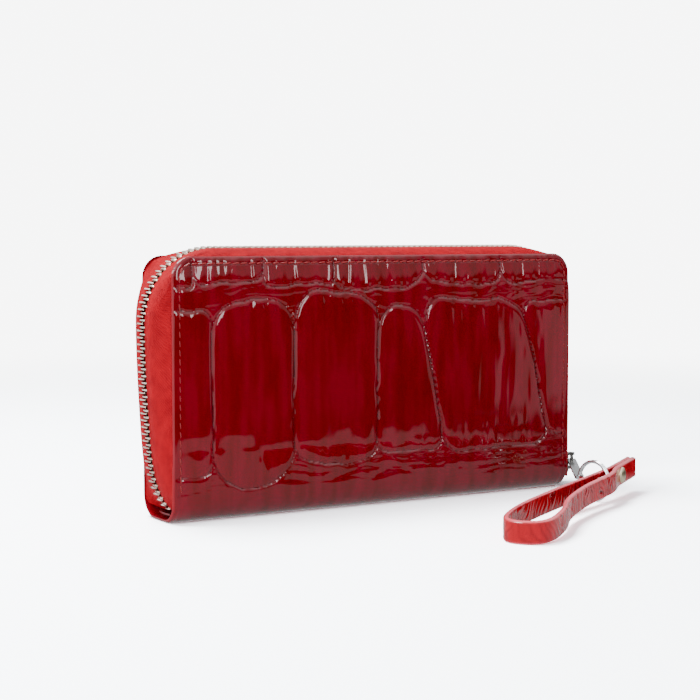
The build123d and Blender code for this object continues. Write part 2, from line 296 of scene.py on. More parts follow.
def patent_leather(name, low, body, high, edge):
    """Patent leather: dyed hide under a poured lacquer. The lacquer gives a sharp gloss, the
    embossed grooves are coloured darker as painted shade, and the cut edge is painted a lighter
    tone."""
    material, tree = blank_material(name)
    tone = add(tree, "ShaderNodeValToRGB", {0: object_noise(tree, 5.0, 2.0, (1, 1, 0.16))},
               [(0.35, body), (0.62, high)])
    # The groove share mixes in the low colour as painted shade in the hollows; the edge share is
    # edge paint.
    for label, code in (("groove", low), ("edge", edge)):
        share = add(tree, "ShaderNodeAttribute", attribute_name=label).outputs["Fac"]
        tone = add(tree, "ShaderNodeMix", {0: share, 6: tone, 7: linear(code)},
                   data_type="RGBA").outputs[2]
    ripple = add(tree, "ShaderNodeBump", {"Height": object_noise(tree, 2.2, 1.5),
                                          "Distance": 0.06 * MM, "Strength": 1.0})
    looks = {"Base Color": tone, "Roughness": 0.6, "IOR": 1.5, "Specular IOR Level": 0.0,
             "Coat Weight": 1.0, "Coat Roughness": 0.03, "Coat IOR": 1.5}
    return finished(material, object_noise(tree, 0.8, 1.0), 0.008, looks, ripple)


def grain_leather(name, low, high):
    """Smooth calf leather: a fine pebbled grain with a dull wax finish."""
    material, tree = blank_material(name)
    tone = add(tree, "ShaderNodeValToRGB", {0: object_noise(tree, 9.0, 4.0)},
               [(0.3, low), (0.75, high)])
    place = add(tree, "ShaderNodeTexCoord").outputs["Object"]
    pebble = add(tree, "ShaderNodeTexVoronoi", {"Vector": place, "Scale": 1 / (0.9 * MM)},
                 feature="SMOOTH_F1")
    looks = {"Base Color": tone, "Roughness": 0.48, "IOR": 1.45, "Coat Weight": 0.15,
             "Coat Roughness": 0.3}
    return finished(material, pebble, 0.12, looks)


def woven(name, low, high, thread_mm, twill=0.5):
    """Woven polyester: warp and weft threads of thread_mm, raised where they cross. The
    weave follows the piece's own cloth map, which is in millimetres."""
    material, tree = blank_material(name)
    place = add(tree, "ShaderNodeUVMap", uv_map="cloth")
    across, along, _ = add(tree, "ShaderNodeSeparateXYZ", {0: place}).outputs
    turn = math.pi / thread_mm
    crossing = worked_out(tree, {"across": across, "along": along}, [
        ("slant", "MULTIPLY_ADD", "along", twill, "across"), ("angle", "MULTIPLY", "slant", turn),
        ("wave", "SINE", "angle"), ("warp", "ABSOLUTE", "wave"),
        ("slant", "MULTIPLY_ADD", "across", -twill, "along"), ("angle", "MULTIPLY", "slant", turn),
        ("wave", "SINE", "angle"), ("weft", "ABSOLUTE", "wave"),
        ("crossing", "MULTIPLY", "warp", "weft")])
    # The tone is lighter on the raised thread crossings and darker between threads, a painted
    # shade, plus uneven wear.
    shade = worked_out(tree, {"crossing": crossing, "worn": object_noise(tree, 3.5, 3.0)},
                       [("shade", "MULTIPLY_ADD", "crossing", 0.6, "worn")])
    tone = add(tree, "ShaderNodeValToRGB", {0: shade}, [(0.35, low), (1.0, high)])
    looks = {"Base Color": tone, "Roughness": 0.75, "Specular IOR Level": 0.12}
    return finished(material, crossing, 0.16, looks)


def plated(name, body, dull, roughness, scratch_mm=1.2):
    """Electroplated zinc or steel, tumbled bright: fine random scratches dull it a little."""
    material, tree = blank_material(name)
    marks = object_noise(tree, scratch_mm, 5.0, (1.0, 0.35, 1.6))
    tone = add(tree, "ShaderNodeValToRGB", {0: marks}, [(0.3, dull), (0.65, body)])
    rough = add(tree, "ShaderNodeMapRange", {"Value": marks, "To Min": roughness * 0.7,
                                             "To Max": roughness * 1.5})
    looks = {"Base Color": tone, "Roughness": rough, "Metallic": 1.0}
    return finished(material, marks, 0.01, looks)


def matte(name, low, high, grain_mm, roughness, depth_mm=0.05):
    """Pressed board, moulded resin or thread: a fine uneven grain and a dull surface."""
    material, tree = blank_material(name)
    grain = object_noise(tree, grain_mm, 4.0)
    tone = add(tree, "ShaderNodeValToRGB", {0: grain}, [(0.3, low), (0.7, high)])
    return finished(material, grain, depth_mm, {"Base Color": tone, "Roughness": roughness})


# Patent leather colours: painted shade for the hollows, body, high, and edge paint.
COVER = patent_leather("cover_patent_leather", "#440004", "#600004", "#700016", "#86081A")
STRAP = patent_leather("strap_patent_leather", "#4A0004", "#9A0010", "#B20018", "#E8606C")
INNER = grain_leather("inner_calf_leather", "#6E0206", "#90060C")
TAPE_CLOTH = woven("zip_tape_polyester", "#860010", "#B60018", 0.55)
LINING_CLOTH = woven("twill_lining", "#4A0308", "#7A0A12", 0.5, 1.0)
GOLD = plated("pale_gold_plating", "#F8ECE2", "#D8C6B8", 0.22)
SILVER = plated("bright_nickel_plating", "#EEEFF0", "#BFC1C3", 0.14)
DARK_NICKEL = plated("dark_nickel_plating", "#8C8A86", "#4C4A48", 0.25)
RIVET = plated("cream_gold_plating", "#EFE3C4", "#CDBB93", 0.3, 2.0)
THREAD = matte("bonded_nylon_thread", "#6E0206", "#900810", 0.25, 0.4, 0.04)
BOARD = matte("pressed_fibre_board", "#8C7A62", "#B09C80", 0.8, 0.9, 0.08)
RESIN = matte("moulded_resin_teeth", "#70101A", "#8E1C26", 1.5, 0.35, 0.02)


# ---------------------------------------------------------------- camera, floor and light

def make_camera():
    """Camera at the wallet's front left, a little above the table."""
    data = bpy.data.cameras.new("camera")
    data.lens, data.sensor_width = 84.3, 36.0
    data.clip_start, data.clip_end = 0.02, 50.0
    camera = bpy.data.objects.new("camera", data)
    camera.location = (-0.34385, -0.56429, 0.1088)
    camera.rotation_euler = (math.radians(90 - 4.104), 0, math.radians(-30.784))
    bpy.context.scene.collection.objects.link(camera)
    bpy.context.scene.camera = camera


def painted_floor_reflection(tree):
    """Painted reflection: an emission that sets how bright the table looks in the lacquer, a
    painted lit pool round the wallet, and a painted dark studio beyond it to the front and to the
    right."""
    place = add(tree, "ShaderNodeTexCoord").outputs["Object"]
    x, y, _ = add(tree, "ShaderNodeSeparateXYZ", {0: place}).outputs
    return worked_out(tree, {"x": x, "y": y}, [
        ("near", "FADE", "y", -0.2, -0.235), ("rightward", "FADE", "x", -0.25, -0.15),
        ("ahead", "MULTIPLY", "near", "rightward"),
        ("aside", "SUBTRACT", "x", 0.04), ("forward", "MULTIPLY", "y", -1.0),
        ("slant", "DIVIDE", "aside", "forward"), ("before", "FADE", "slant", 0.80, 0.74),
        ("dark_ahead", "MULTIPLY", "ahead", "before"),
        ("past_end", "FADE", "x", 0.13, 0.17), ("level_with", "FADE", "y", -0.3, -0.2),
        ("dark_right", "MULTIPLY", "past_end", "level_with"),
        ("dark", "MAXIMUM", "dark_ahead", "dark_right"),
        ("left", "FADE", "x", -0.15, -0.3), ("behind", "FADE", "y", 0.05, 0.2),
        ("lamp_side", "MAXIMUM", "left", "behind"), ("lit", "MULTIPLY_ADD", "lamp_side", 0.7, 0.75),
        ("clear", "SUBTRACT", 1.0, "dark"), ("glow", "MULTIPLY_ADD", "lit", "clear", 0.02)])


def make_floor():
    """Pale seamless table top, lit brighter than the wallet; reflections see a painted glow
    instead.
    """
    material, tree = blank_material("pale_paper_sweep")
    tone = add(tree, "ShaderNodeValToRGB", {0: object_noise(tree, 2.0, 3.0)},
               [(0.3, "#E9EAEC"), (0.7, "#EEEFF1")])
    paper = add(tree, "ShaderNodeBsdfPrincipled", {"Base Color": tone, "Roughness": 0.8,
                                                   "Specular IOR Level": 0.2})
    rays = add(tree, "ShaderNodeLightPath").outputs
    place = add(tree, "ShaderNodeTexCoord").outputs["Object"]
    away = add(tree, "ShaderNodeVectorMath", {0: place}, operation="LENGTH").outputs["Value"]
    far = worked_out(tree, {"away": away}, [("far", "FADE", "away", 0.3, 0.9)])
    lit = add(tree, "ShaderNodeBsdfDiffuse", {"Color": FLOOR_LIT})
    white = add(tree, "ShaderNodeEmission", {"Color": linear("#FDFEFF"), "Strength": EYE_WHITE})
    # In reflections the table glows by its own emission: a painted reflection, not lamp light.
    painted_reflection_glow = add(tree, "ShaderNodeEmission", {"Color": linear("#F8F8FA"),
                                                "Strength": painted_floor_reflection(tree)})
    seen = add(tree, "ShaderNodeMixShader", {0: far, 1: lit, 2: white})
    unseen = add(tree, "ShaderNodeMixShader", {0: rays["Is Glossy Ray"], 1: paper, 2: painted_reflection_glow})
    both = add(tree, "ShaderNodeMixShader", {0: rays["Is Camera Ray"], 1: unseen, 2: seen})
    add(tree, "ShaderNodeOutputMaterial", {"Surface": both})
    mesh = bpy.data.meshes.new("table_top")
    reach = 12.0
    mesh.from_pydata([(-reach, -reach, 0), (reach, -reach, 0), (reach, reach, 0),
                      (-reach, reach, 0)], [], [(0, 1, 2, 3)])
    mesh.materials.append(material)
    floor = bpy.data.objects.new("table_top", mesh)
    bpy.context.scene.collection.objects.link(floor)


def softbox(name, place, aim, size, power):
    """A rectangular studio softbox facing a point."""
    data = bpy.data.lights.new(name, "AREA")
    data.shape, data.size, data.size_y = "RECTANGLE", size[0], size[1]
    data.energy = power
    lamp = bpy.data.objects.new(name, data)
    lamp.location = place
    look = Vector(aim) - Vector(place)
    lamp.rotation_euler = look.to_track_quat("-Z", "Y").to_euler()
    bpy.context.scene.collection.objects.link(lamp)


def make_light():
    """White room for the eye, and for reflections a room that is dark near the horizon in
    front, pale above it, and bright overhead and to the left."""
    world = bpy.data.worlds.new("studio")
    world.use_nodes = True
    bpy.context.scene.world = world
    tree = world.node_tree
    tree.nodes.clear()
    rays = add(tree, "ShaderNodeLightPath").outputs
    way = add(tree, "ShaderNodeTexCoord").outputs["Generated"]
    x, _, z = add(tree, "ShaderNodeSeparateXYZ", {0: way}).outputs
    level = worked_out(tree, {"x": x, "z": z}, [
        ("over_table", "FADE", "z", 0.05, 0.13), ("overhead", "FADE", "z", 0.25, 0.6),
        ("left", "FADE", "x", -0.05, -0.3), ("low", "MULTIPLY_ADD", "over_table", 0.6, 0.03),
        ("high", "MULTIPLY_ADD", "overhead", 1.3, "low"),
        ("level", "MULTIPLY_ADD", "left", 1.2, "high")])
    eye = add(tree, "ShaderNodeBackground", {"Color": linear("#FDFEFF"), "Strength": EYE_WHITE})
    room = add(tree, "ShaderNodeBackground", {"Color": linear("#F4F6F8"), "Strength": ROOM_LIGHT})
    mirror = add(tree, "ShaderNodeBackground", {"Color": linear("#F8F8FA"), "Strength": level})
    unseen = add(tree, "ShaderNodeMixShader", {0: rays["Is Glossy Ray"], 1: room, 2: mirror})
    both = add(tree, "ShaderNodeMixShader", {0: rays["Is Camera Ray"], 1: unseen, 2: eye})
    add(tree, "ShaderNodeOutputWorld", {"Surface": both})
    softbox("overhead_softbox", (-0.25, 0.22, 0.85), (0, 0, 0), (0.5, 0.4), 17.0)
    softbox("left_softbox", (-0.9, -0.35, 0.55), (0, 0, 0.05), (0.35, 0.6), 8.0)
    softbox("front_strip", (0.14, -1.15, 0.28), (0, 0, 0.08), (0.2, 0.36), 2.6)


# ---------------------------------------------------------------- embossed covers

# Scales in millimetres from the cover's left edge and the table: left and right boundary at
# the scale's foot, the same at its head, the heights of foot and head, and the corner radius
# at foot and head.
FRONT_SCALES = [
    (-16, 16, -16, 16, 18, 81, 4, 6), (16, 51, 16, 51, 11.5, 83, 15, 11),
    (51, 88.7, 51, 88.7, 19, 86, 8, 12), (88.7, 120.7, 88.7, 107.7, 21, 80, 7, 8),
    (120.7, 174, 107.7, 158.5, 20, 83, 8, 13), (174, 204, 158.5, 204, 23, 80, 5, 8),
    (-9, 8, -9, 8, 89, 126, 2, 2), (8, 38, 8, 38, 90, 126, 5, 2), (38, 69, 38, 69, 88, 126, 3, 2),
    (69, 109, 69, 109, 87, 126, 6, 2), (109, 148, 109, 148, 89, 126, 5, 2),
    (148, 206, 148, 206, 88, 126, 8, 2),
]
BACK_SCALES = [
    (-16, 22, -16, 25, 20, 82, 5, 8), (22, 58, 25, 60, 14, 79, 13, 10),
    (58, 95, 60, 90, 19, 84, 8, 12), (95, 133, 90, 131, 20, 80, 8, 9),
    (133, 168, 131, 170, 16, 83, 12, 12), (168, 206, 170, 206, 20, 80, 6, 8),
    (-10, 30, -10, 30, 89, 126, 4, 2), (30, 66, 30, 66, 87, 126, 5, 2),
    (66, 104, 66, 104, 89, 126, 4, 2), (104, 140, 104, 140, 87, 126, 6, 2),
    (140, 206, 140, 206, 89, 126, 6, 2),
]


def scale_depth(x, z, scale):
    """How far inside one rounded, leaning scale a point lies, negative outside."""
    foot_l, foot_r, head_l, head_r, low, high, foot_radius, head_radius = scale
    t = (z - low) / (high - low)
    left = foot_l + (head_l - foot_l) * t
    right = foot_r + (head_r - foot_r) * t
    radius = np.where(t < 0.5, foot_radius, head_radius)
    qx = np.abs(x - (left + right) / 2) - (right - left) / 2 + radius
    qz = np.abs(z - (low + high) / 2) - (high - low) / 2 + radius
    outside = np.hypot(np.maximum(qx, 0), np.maximum(qz, 0))
    return radius - outside - np.minimum(np.maximum(qx, qz), 0)


def relief(x, z, scales, seed):
    """Height of the embossing. Each scale is a pillow, 1 - exp(-depth), whose head and foot
    carry short upright ribs of uneven length. Thin creases run along between the rows."""
    def noise(width, height, step, u=x, v=z):
        """Lattice noise of this cover, whose cells have a width and a height."""
        return lattice_noise(u, v, (width, height), seed + step)
    wx = x + 0.9 * noise(17, 21, 0) + 0.35 * noise(4, 7, 1)
    wz = z + 1.8 * noise(13, 18, 2) + 0.6 * noise(4.5, 4, 3)
    flow = wz + 2.6 * noise(24, 30, 4)
    crease = np.maximum(1 - 2.8 * np.abs(noise(23, 2.6, 5, v=flow)), 0)
    fine = np.maximum(1 - 2.4 * np.abs(noise(8, 1.5, 6, v=flow)), 0)
    between = 0.36 - 0.3 * crease * (0.6 + 0.4 * noise(14, 9, 20)) - 0.1 * fine
    between += 0.14 * noise(7, 4, 7)
    foot = ease((14.0 - z + 3.0 * noise(18, 30, 8)) / 3.5)
    curl = np.exp(-(noise(26, 5.5, 21, v=flow) / 0.09) ** 2) * ease((z - 5) / 4)
    height = between * (1 - foot) + (0.34 - 0.16 * curl + 0.04 * noise(9, 4, 22)) * foot
    ribs = noise(1.45, 15, 9, u=wx) + 0.5 * noise(3.1, 30, 10, u=wx)
    length = 3.4 + 3.6 * noise(4, 60, 11)
    streaks = noise(3.2, 30, 12, u=wx) + 0.7 * noise(8, 16, 13, u=wx) + 0.5 * noise(2.2, 9, 14)
    for scale in scales:
        depth = scale_depth(wx, wz, scale)
        inside = np.maximum(depth, 0)
        upper = scale[5] > TOP
        pillow = 0.5 * (1 - np.exp(-inside / 0.9)) + 0.1 * (1 - np.exp(-inside / 7.0))
        reach = np.minimum(np.abs(wz - scale[4]), np.abs(wz - scale[5])) - 1.5
        tall = 1.0 if upper else np.exp(-np.maximum(reach, 0) / np.maximum(length, 1.2))
        body = (0.26 if upper else 0.2) * ribs * tall * ease(inside / 2.2)
        body += 0.05 * streaks * ease(inside / 4.0)
        body += 0.13 * noise(7, 6, 15) * ease((40 - z) / 16) * ease(inside / 3.0)
        lip = np.exp(-(depth / 0.55) ** 2) * (0.7 + 0.3 * noise(9, 12, 16))
        height = np.where(depth > 0, pillow + body - 0.1, height)
        height = height - 0.34 * lip
    return height - 0.22


def wrap(s, inset):
    """Point and outward normal in depth and height, s along the leather from the middle of
    the foot: flat foot, quarter round, then straight up."""
    angle = np.clip((s - FOOT) / FOLD_R, 0, math.pi / 2)
    out, up = np.sin(angle), -np.cos(angle)
    depth = np.where(s < FOOT, s, FOOT + (FOLD_R - inset) * out)
    height = np.where(s < FOOT, inset, FOLD_R + (FOLD_R - inset) * up)
    height = height + np.maximum(s - FOOT - ROLL, 0)
    return depth, height, out, up


def wrap_rows(top, corner, step, corner_rows):
    """Places along the wrap up to a rounded corner's foot at an even step, then by angle."""
    foot = FOOT + ROLL + top - corner - FOLD_R
    straight = np.linspace(0, foot, int(foot / step) + 1)
    turn = np.linspace(0, math.pi / 2, corner_rows + 1)[1:]
    return np.concatenate([straight, foot + corner * np.sin(turn)]), foot


def half_width(s, foot, width, corner):
    """Half width of the sheet at s: full below the corners, then their quarter circle."""
    rise = np.clip((s - foot) / corner, 0, 1)
    return width - corner + corner * np.sqrt(np.maximum(1 - rise * rise, 0))


def edge_spread(count):
    """Places from -1 to 1, gathered at both ends so that the rolled edge is smooth."""
    t = np.linspace(-1, 1, count)
    return t + 0.011 * np.sin(math.pi * t) * (1 - 0.4 * t * t)


def trimmed(rows, step):
    """Drops rows so that one more than a multiple of step is left."""
    extra = (len(rows) - 1) % step
    return rows if extra == 0 else np.concatenate([rows[:1], rows[1 + extra:]])


def cover_skin(name, side, scales, seed, blend_to, *nodes):
    """Embossed outer leather of one cover and its half of the spine.

    Height of the surface = wrap + relief along the normal, and near the cut edge it rolls
    in by a quarter circle of the leather's thickness.
    """
    rows, foot = wrap_rows(TOP, CORNER_R, 0.54, 24)
    rows = trimmed(rows, 4)
    cols = edge_spread(345)
    s, u = np.meshgrid(rows, cols, indexing="ij")
    x = u * half_width(s, foot, HALF_W, CORNER_R)
    depth, height, out, up = wrap(s, 0.0)
    level = FOLD_R + s - FOOT - ROLL
    rise = relief(x + HALF_W if side < 0 else HALF_W - x, np.where(s > FOOT + ROLL, level, s - 9),
                  scales, seed)
    from_side = half_width(s, foot, HALF_W, CORNER_R) - np.abs(x)
    qx = np.maximum(np.abs(x) - HALF_W + CORNER_R, 0)
    qz = np.maximum(level - TOP + CORNER_R, 0)
    corner_gap = CORNER_R - np.hypot(qx, qz)
    gap = np.where((qx > 0) & (qz > 0), corner_gap,
                   np.minimum(HALF_W - np.abs(x), np.maximum(TOP - level, 0)))
    gap = np.maximum(np.minimum(gap, np.where(qz > 0, gap, from_side)), 0)
    calm = ease(gap / 3.4)
    seam = np.exp(-((gap - SEAM_IN) / 0.5) ** 2)
    rise = rise * (0.25 + 0.75 * calm) - 0.16 * seam
    roll = np.minimum(gap / 0.9, 1)
    drop = 0.9 * (1 - np.sqrt(np.maximum(1 - (1 - roll) ** 2, 0)))
    back = np.clip(1 - (TOP - level) / 16.0, 0, 1) ** 2
    bulge = (0.5 * ease(gap / 12.0) - 0.7 * back) * np.clip((level - 6) / 20.0, 0, 1)
    lift = rise * ease(gap / 1.4) - drop + bulge
    foot_calm = ease((s - 2) / 10)
    lift = np.where(s < FOOT + 4, lift * foot_calm - drop * (1 - foot_calm), lift)
    outer = np.stack([x, side * (depth + lift * out), height + lift * up], -1)
    outer[..., 2] = np.maximum(outer[..., 2], 0.02)
    in_depth, in_height, _, _ = wrap(s, LEATHER)
    inner = np.stack([x, side * in_depth, in_height], -1)
    # Painted shade: the colour darkens where the embossing sinks low.
    groove = np.clip(-rise * 1.4 - 0.1, 0, 1) * 0.8
    edge = 1 - ease((gap - 0.12) / 0.3)
    skin = shell(name, outer, inner, COVER, 4, {"groove": groove, "edge": edge})
    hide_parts(*nodes)
    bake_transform(skin)
    return skin


def outline(width, top, corner, low, leg, arc, across):
    """Points along an arch: up the left, round, across the top, round, down the right.
    Returns x, z and the outward normal."""
    turn = np.linspace(math.pi, math.pi / 2, arc)
    zs = np.linspace(low, top - corner, leg, endpoint=False)
    xs = np.linspace(-(width - corner), width - corner, across)
    left = np.stack([np.full(leg, -width), zs, np.full(leg, -1.0), np.zeros(leg)])
    bend = np.stack([-(width - corner) + corner * np.cos(turn),
                     top - corner + corner * np.sin(turn), np.cos(turn), np.sin(turn)])
    flat = np.stack([xs, np.full(across, top), np.zeros(across), np.ones(across)])[:, 1:-1]
    path = np.concatenate([left, bend, flat], 1)
    mirror = path[:, :leg + arc][:, ::-1] * np.array([-1, 1, -1, 1])[:, None]
    return np.concatenate([path, mirror], 1)


def tuck(x, z):
    """How far the left end of the chain curves in towards the spine as it comes down."""
    inward = 9.0 * np.exp(-(np.maximum(z, 0) - 4.0) / 9.5) + 1.5 * ease((72 - z) / 50)
    return np.where(x < 0, inward, 0.0)


def stitches(name, side, body):
    """Lockstitches round a cover: low arched threads, end to end, in the seam's groove."""
    x, z, nx, nz = outline(HALF_W - SEAM_IN, TOP - SEAM_IN, CORNER_R - SEAM_IN, 12.0, 200, 30,
                           300)
    far = run_length(x, z)
    count = int(far[-1] / STITCH_PITCH)
    middle = (np.arange(count) + 0.5) * far[-1] / count
    at = [np.interp(middle, far, v) for v in (x, z, nx, nz)]
    ring = np.linspace(0, 2 * math.pi, 7)[:-1]
    along = np.array([-1.45, -1.2, -0.5, 0.5, 1.2, 1.45])
    fat = np.array([0.05, 0.24, 0.3, 0.3, 0.24, 0.05])
    lift = np.array([-0.25, 0.0, 0.12, 0.12, 0.0, -0.25])
    shape = np.stack([np.repeat(along, 6),
                      (fat[:, None] * np.cos(ring)).ravel(),
                      (fat[:, None] * np.sin(ring) + lift[:, None]).ravel()], -1)
    index = np.arange(36).reshape(6, 6)
    index = np.hstack([index, index[:, :1]])
    tangent = np.stack([at[3], np.zeros(count), -at[2]], -1)
    across = np.stack([at[2], np.zeros(count), at[3]], -1)
    face = np.tile([0.0, float(side), 0.0], (count, 1))
    slant = tangent + 0.10 * across
    slant /= np.linalg.norm(slant, axis=1)[:, None]
    places = (np.stack([at[0], np.full(count, side * (FACE - 0.02)), at[1]], -1),
              np.stack([slant, across, face], 1))
    thread = repeated(name, shape, [quads(index)], places, THREAD)
    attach(thread, body)


# ---------------------------------------------------------------- zip

def zip_tape(name, side, body, *nodes):
    """Woven tape from the cover's edge out to the chain: the two outlines are joined by
    share = 1 - (1 - across)^1.7, which leaves the edge beside the teeth flat."""
    inner = outline(HALF_W - 0.9, TOP - 0.9, CORNER_R, CHAIN_LOW + 2.0, 90, 30, 130)
    outer = outline(CHAIN_X, CHAIN_Z, CHAIN_R, CHAIN_LOW, 90, 30, 130)
    across = np.linspace(0, 1, 22)[None, :]
    share = 1 - (1 - np.minimum(across / 0.72, 1)) ** 1.7
    x_out = outer[0] + tuck(outer[0], outer[1])
    x = inner[0][:, None] * (1 - share) + x_out[:, None] * share
    z = inner[1][:, None] * (1 - share) + outer[1][:, None] * share
    start = FACE - LEATHER + 0.1
    y = side * (start + (TAPE_EDGE - start) * across) + 0 * x
    far = run_length(outer[0], outer[1])
    pucker = 0.16 * np.sin(far[:, None] / 2.1 + 1.5 * np.sin(far[:, None] / 17)) \
        * np.exp(-((across - 0.16) / 0.16) ** 2)
    grid = np.stack([x, y, z], -1)
    out = normals(grid)
    centre = grid - np.array([0, 0, 50.0])
    out *= np.sign((out * centre).sum(-1).mean())
    grid = grid + out * (pucker[..., None] + TAPE / 2)
    length = np.hypot(np.gradient(grid[..., 1], axis=1), 0.4).cumsum(1)
    uv = np.stack([far[:, None] + 0 * x, length * 1.2], -1)
    tape = shell(name, grid, grid - out * TAPE, TAPE_CLOTH, 1, uv=uv)
    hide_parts(*nodes)
    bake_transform(tape)


def tooth_shape():
    """One zip element: octagonal sections from the jaws on the tape to the rounded head."""
    across = np.array([-3.5, -3.15, -1.5, -1.0, 0.15, 0.75, 0.95])
    along = np.array([0.5, 0.8, 0.85, 0.72, 0.72, 0.66, 0.35])
    thick = np.array([1.6, 2.2, 2.3, 2.2, 2.1, 1.8, 1.0])
    ring = np.linspace(0, 2 * math.pi, 9)[:-1] + math.pi / 8
    px = np.sign(np.cos(ring)) * np.abs(np.cos(ring)) ** 0.5
    pz = np.sign(np.sin(ring)) * np.abs(np.sin(ring)) ** 0.5
    shape = np.stack([(along[:, None] / 2 * px).ravel(), np.repeat(across, 8),
                      (thick[:, None] / 2 * pz).ravel()], -1)
    index = np.arange(56).reshape(7, 8)
    ends = np.stack([index[0], index[-1][::-1]])
    return shape, [quads(np.hstack([index, index[:, :1]])), ends]


def zip_row(name, side, shift, body, *nodes):
    """One row of metal elements along the chain's centre line, at an even pitch."""
    x, z, _, _ = outline(CHAIN_X, CHAIN_Z, CHAIN_R, 4.6, 300, 120, 400)
    x = x + tuck(x, z)
    tx, tz = np.gradient(x), np.gradient(z)
    size = np.hypot(tx, tz)
    tx, tz = tx / size, tz / size
    far = run_length(x, z)
    at = np.arange(0.5 + shift * TOOTH_PITCH, far[-1] - 8.0, TOOTH_PITCH)
    px, pz, ax, az = (np.interp(at, far, v) for v in (x, z, tx, tz))
    flat = np.zeros(len(at))
    axes = np.stack([np.stack([ax, flat, az], -1),
                     np.stack([flat, np.full(len(at), -float(side)), flat], -1),
                     np.stack([-az, flat, ax], -1)], 1)
    shape, faces = tooth_shape()
    row = repeated(name, shape, faces, (np.stack([px, flat, pz], -1), axes), GOLD)
    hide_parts(*nodes)
    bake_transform(row)


def tail_tongue(name, side, node):
    """Leather tongue from the spine's open end, curling up under the zip's tail."""
    t = np.linspace(0, 1, 24)[:, None]
    w = np.linspace(-1, 1, 16)[None, :]
    x = side * (83.5 + (10.5 if side > 0 else 6.0) * t) + 0 * w
    y = (3.6 + 1.2 * t) * w
    z = 2.0 + 0.9 * t ** 2 + 0.25 * w ** 2 + 0 * t
    grid = np.stack([x, y, z], -1)
    field = {"groove": 0 * x, "edge": 0 * x}
    tongue = shell(name, grid, grid - np.array([0, 0, 0.7]), COVER, 1, field)
    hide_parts(node)
    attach(tongue, "spine")


# ---------------------------------------------------------------- inside

def lining(name, side, body, *nodes):
    """Twill lining of one cover and its half of the spine, with faint puckers at its seams."""
    width, top = lining_high[0], lining_high[2]
    rows, foot = wrap_rows(top, INNER_R, 1.6, 12)
    s, u = np.meshgrid(rows, np.linspace(-1, 1, 101), indexing="ij")
    x = u * half_width(s, foot, width, INNER_R)
    inset = LEATHER + 0.15 + 0.95 * ease((s - FOOT - ROLL * 0.7) / 6)
    face = []
    for extra in (0.6, 0.0):
        depth, height, out, up = wrap(s, 0.0)
        step = inset + extra
        pucker = 0.08 * np.sin(x / 2.3) * np.exp(-((np.abs(u) - 1) / 0.03) ** 2) if extra else 0
        face.append(np.stack([x, side * (depth - (step + pucker) * out),
                              height - step * up], -1))
    uv = np.stack([x, s], -1)
    cloth = shell(name, face[0], face[1], LINING_CLOTH, 1, uv=uv)
    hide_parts(*nodes)
    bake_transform(cloth)


def edge_band(name, side, body, node):
    """Folded leather band between tape and lining: an arch of even width with a domed face."""
    low, high = corners(node)
    width, top = high[0], high[2]
    band = EDGE_BAND_W
    outer = outline(width, top, BAND_R, low[2], 120, 24, 200)
    inner = outline(width - band, top - band, BAND_R - band, low[2], 120, 24, 200)
    w = np.linspace(0, 1, 10)[None, :]
    x = outer[0][:, None] * (1 - w) + inner[0][:, None] * w
    z = outer[1][:, None] * (1 - w) + inner[1][:, None] * w
    dome = EDGE_BAND_DOME * (1 - (2 * w - 1) ** 4) + 0.03 * np.sin((x + z) / 2.6)
    face, back = (low[1], high[1]) if side > 0 else (high[1], low[1])
    front = np.stack([x, face - side * dome, z], -1)
    rear = np.stack([x, back + 0 * x, z], -1)
    strip = shell(name, front, rear, INNER)
    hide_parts(node)
    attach(strip, body)


def card_slots(name, side, body, node):
    """One row of card slots: two leather panels, left and right of the centre seam. The face
    bellies out as sin(pi u) t^2 towards the mouth, which sags and has a creased, rolled lip."""
    low, high = corners(node)
    deep = high[2] - low[2]
    t = np.linspace(0, 1, 40)[:, None]
    u = np.linspace(0, 1, 61)[None, :]
    below_mouth = (1 - t) * deep
    z = low[2] + deep * t - 0.5 * np.exp(-((u - 0.5) / 0.3) ** 2) * t ** 8
    belly = 0.22 * np.sin(math.pi * u) * t ** 2
    crease = -0.12 * np.exp(-((below_mouth - 2.6) / 0.4) ** 2)
    lip = 0.1 * np.exp(-((below_mouth - 0.6) / 0.7) ** 2)
    face, back = (low[1], high[1]) if side > 0 else (high[1], low[1])
    for label, start, end in (("left", low[0], -0.4), ("right", 0.4, high[0])):
        x = start + (end - start) * u + 0 * t
        outer = np.stack([x, face - side * (belly + crease + lip), z], -1)
        inner = np.stack([x, back + 0 * x, z], -1)
        piece = shell(f"{name}_{label}", outer, inner, INNER)
        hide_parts(node)
        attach(piece, body)


def coin_bag():
    """Coin pocket: a flat bag of lining. Each level is a flattened superellipse whose
    thickness grows from the bottom seam, with its wall turned inside at the mouth."""
    half, thick = bag_high[0], bag_high[1]
    z = np.linspace(bag_low[2], bag_high[2], 60)
    turn = np.linspace(0, 2 * math.pi, 161)[:-1]
    cx, cy = np.cos(turn), np.sin(turn)
    bx = np.sign(cx) * np.abs(cx) ** 0.35
    by = np.sign(cy) * np.abs(cy) ** 0.35
    swell = thick * (0.35 + 0.65 * ease((z - bag_low[2]) / 9)) - 0.12
    ripple = 0.10 * wobble(bx[None, :] * half, z[:, None], 4.0)
    outer = np.stack([half * bx[None, :] + 0 * z[:, None],
                      (swell[:, None] + ripple) * by[None, :],
                      z[:, None] + 0 * bx[None, :]], -1)
    inner = outer * np.array([0.994, 0.84, 1.0])
    inner[..., 2] = np.maximum(inner[..., 2], bag_low[2] + 0.8)
    rings = np.concatenate([outer, inner[::-1]])
    far = run_length(bx * half, by * thick)
    uv = np.stack([np.tile(far, (len(rings), 1)), rings[..., 2]], -1)
    bag = tube("coin_pocket", rings, LINING_CLOTH, uv=uv)
    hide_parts("coin_pocket_bag")
    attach(bag, "spine")


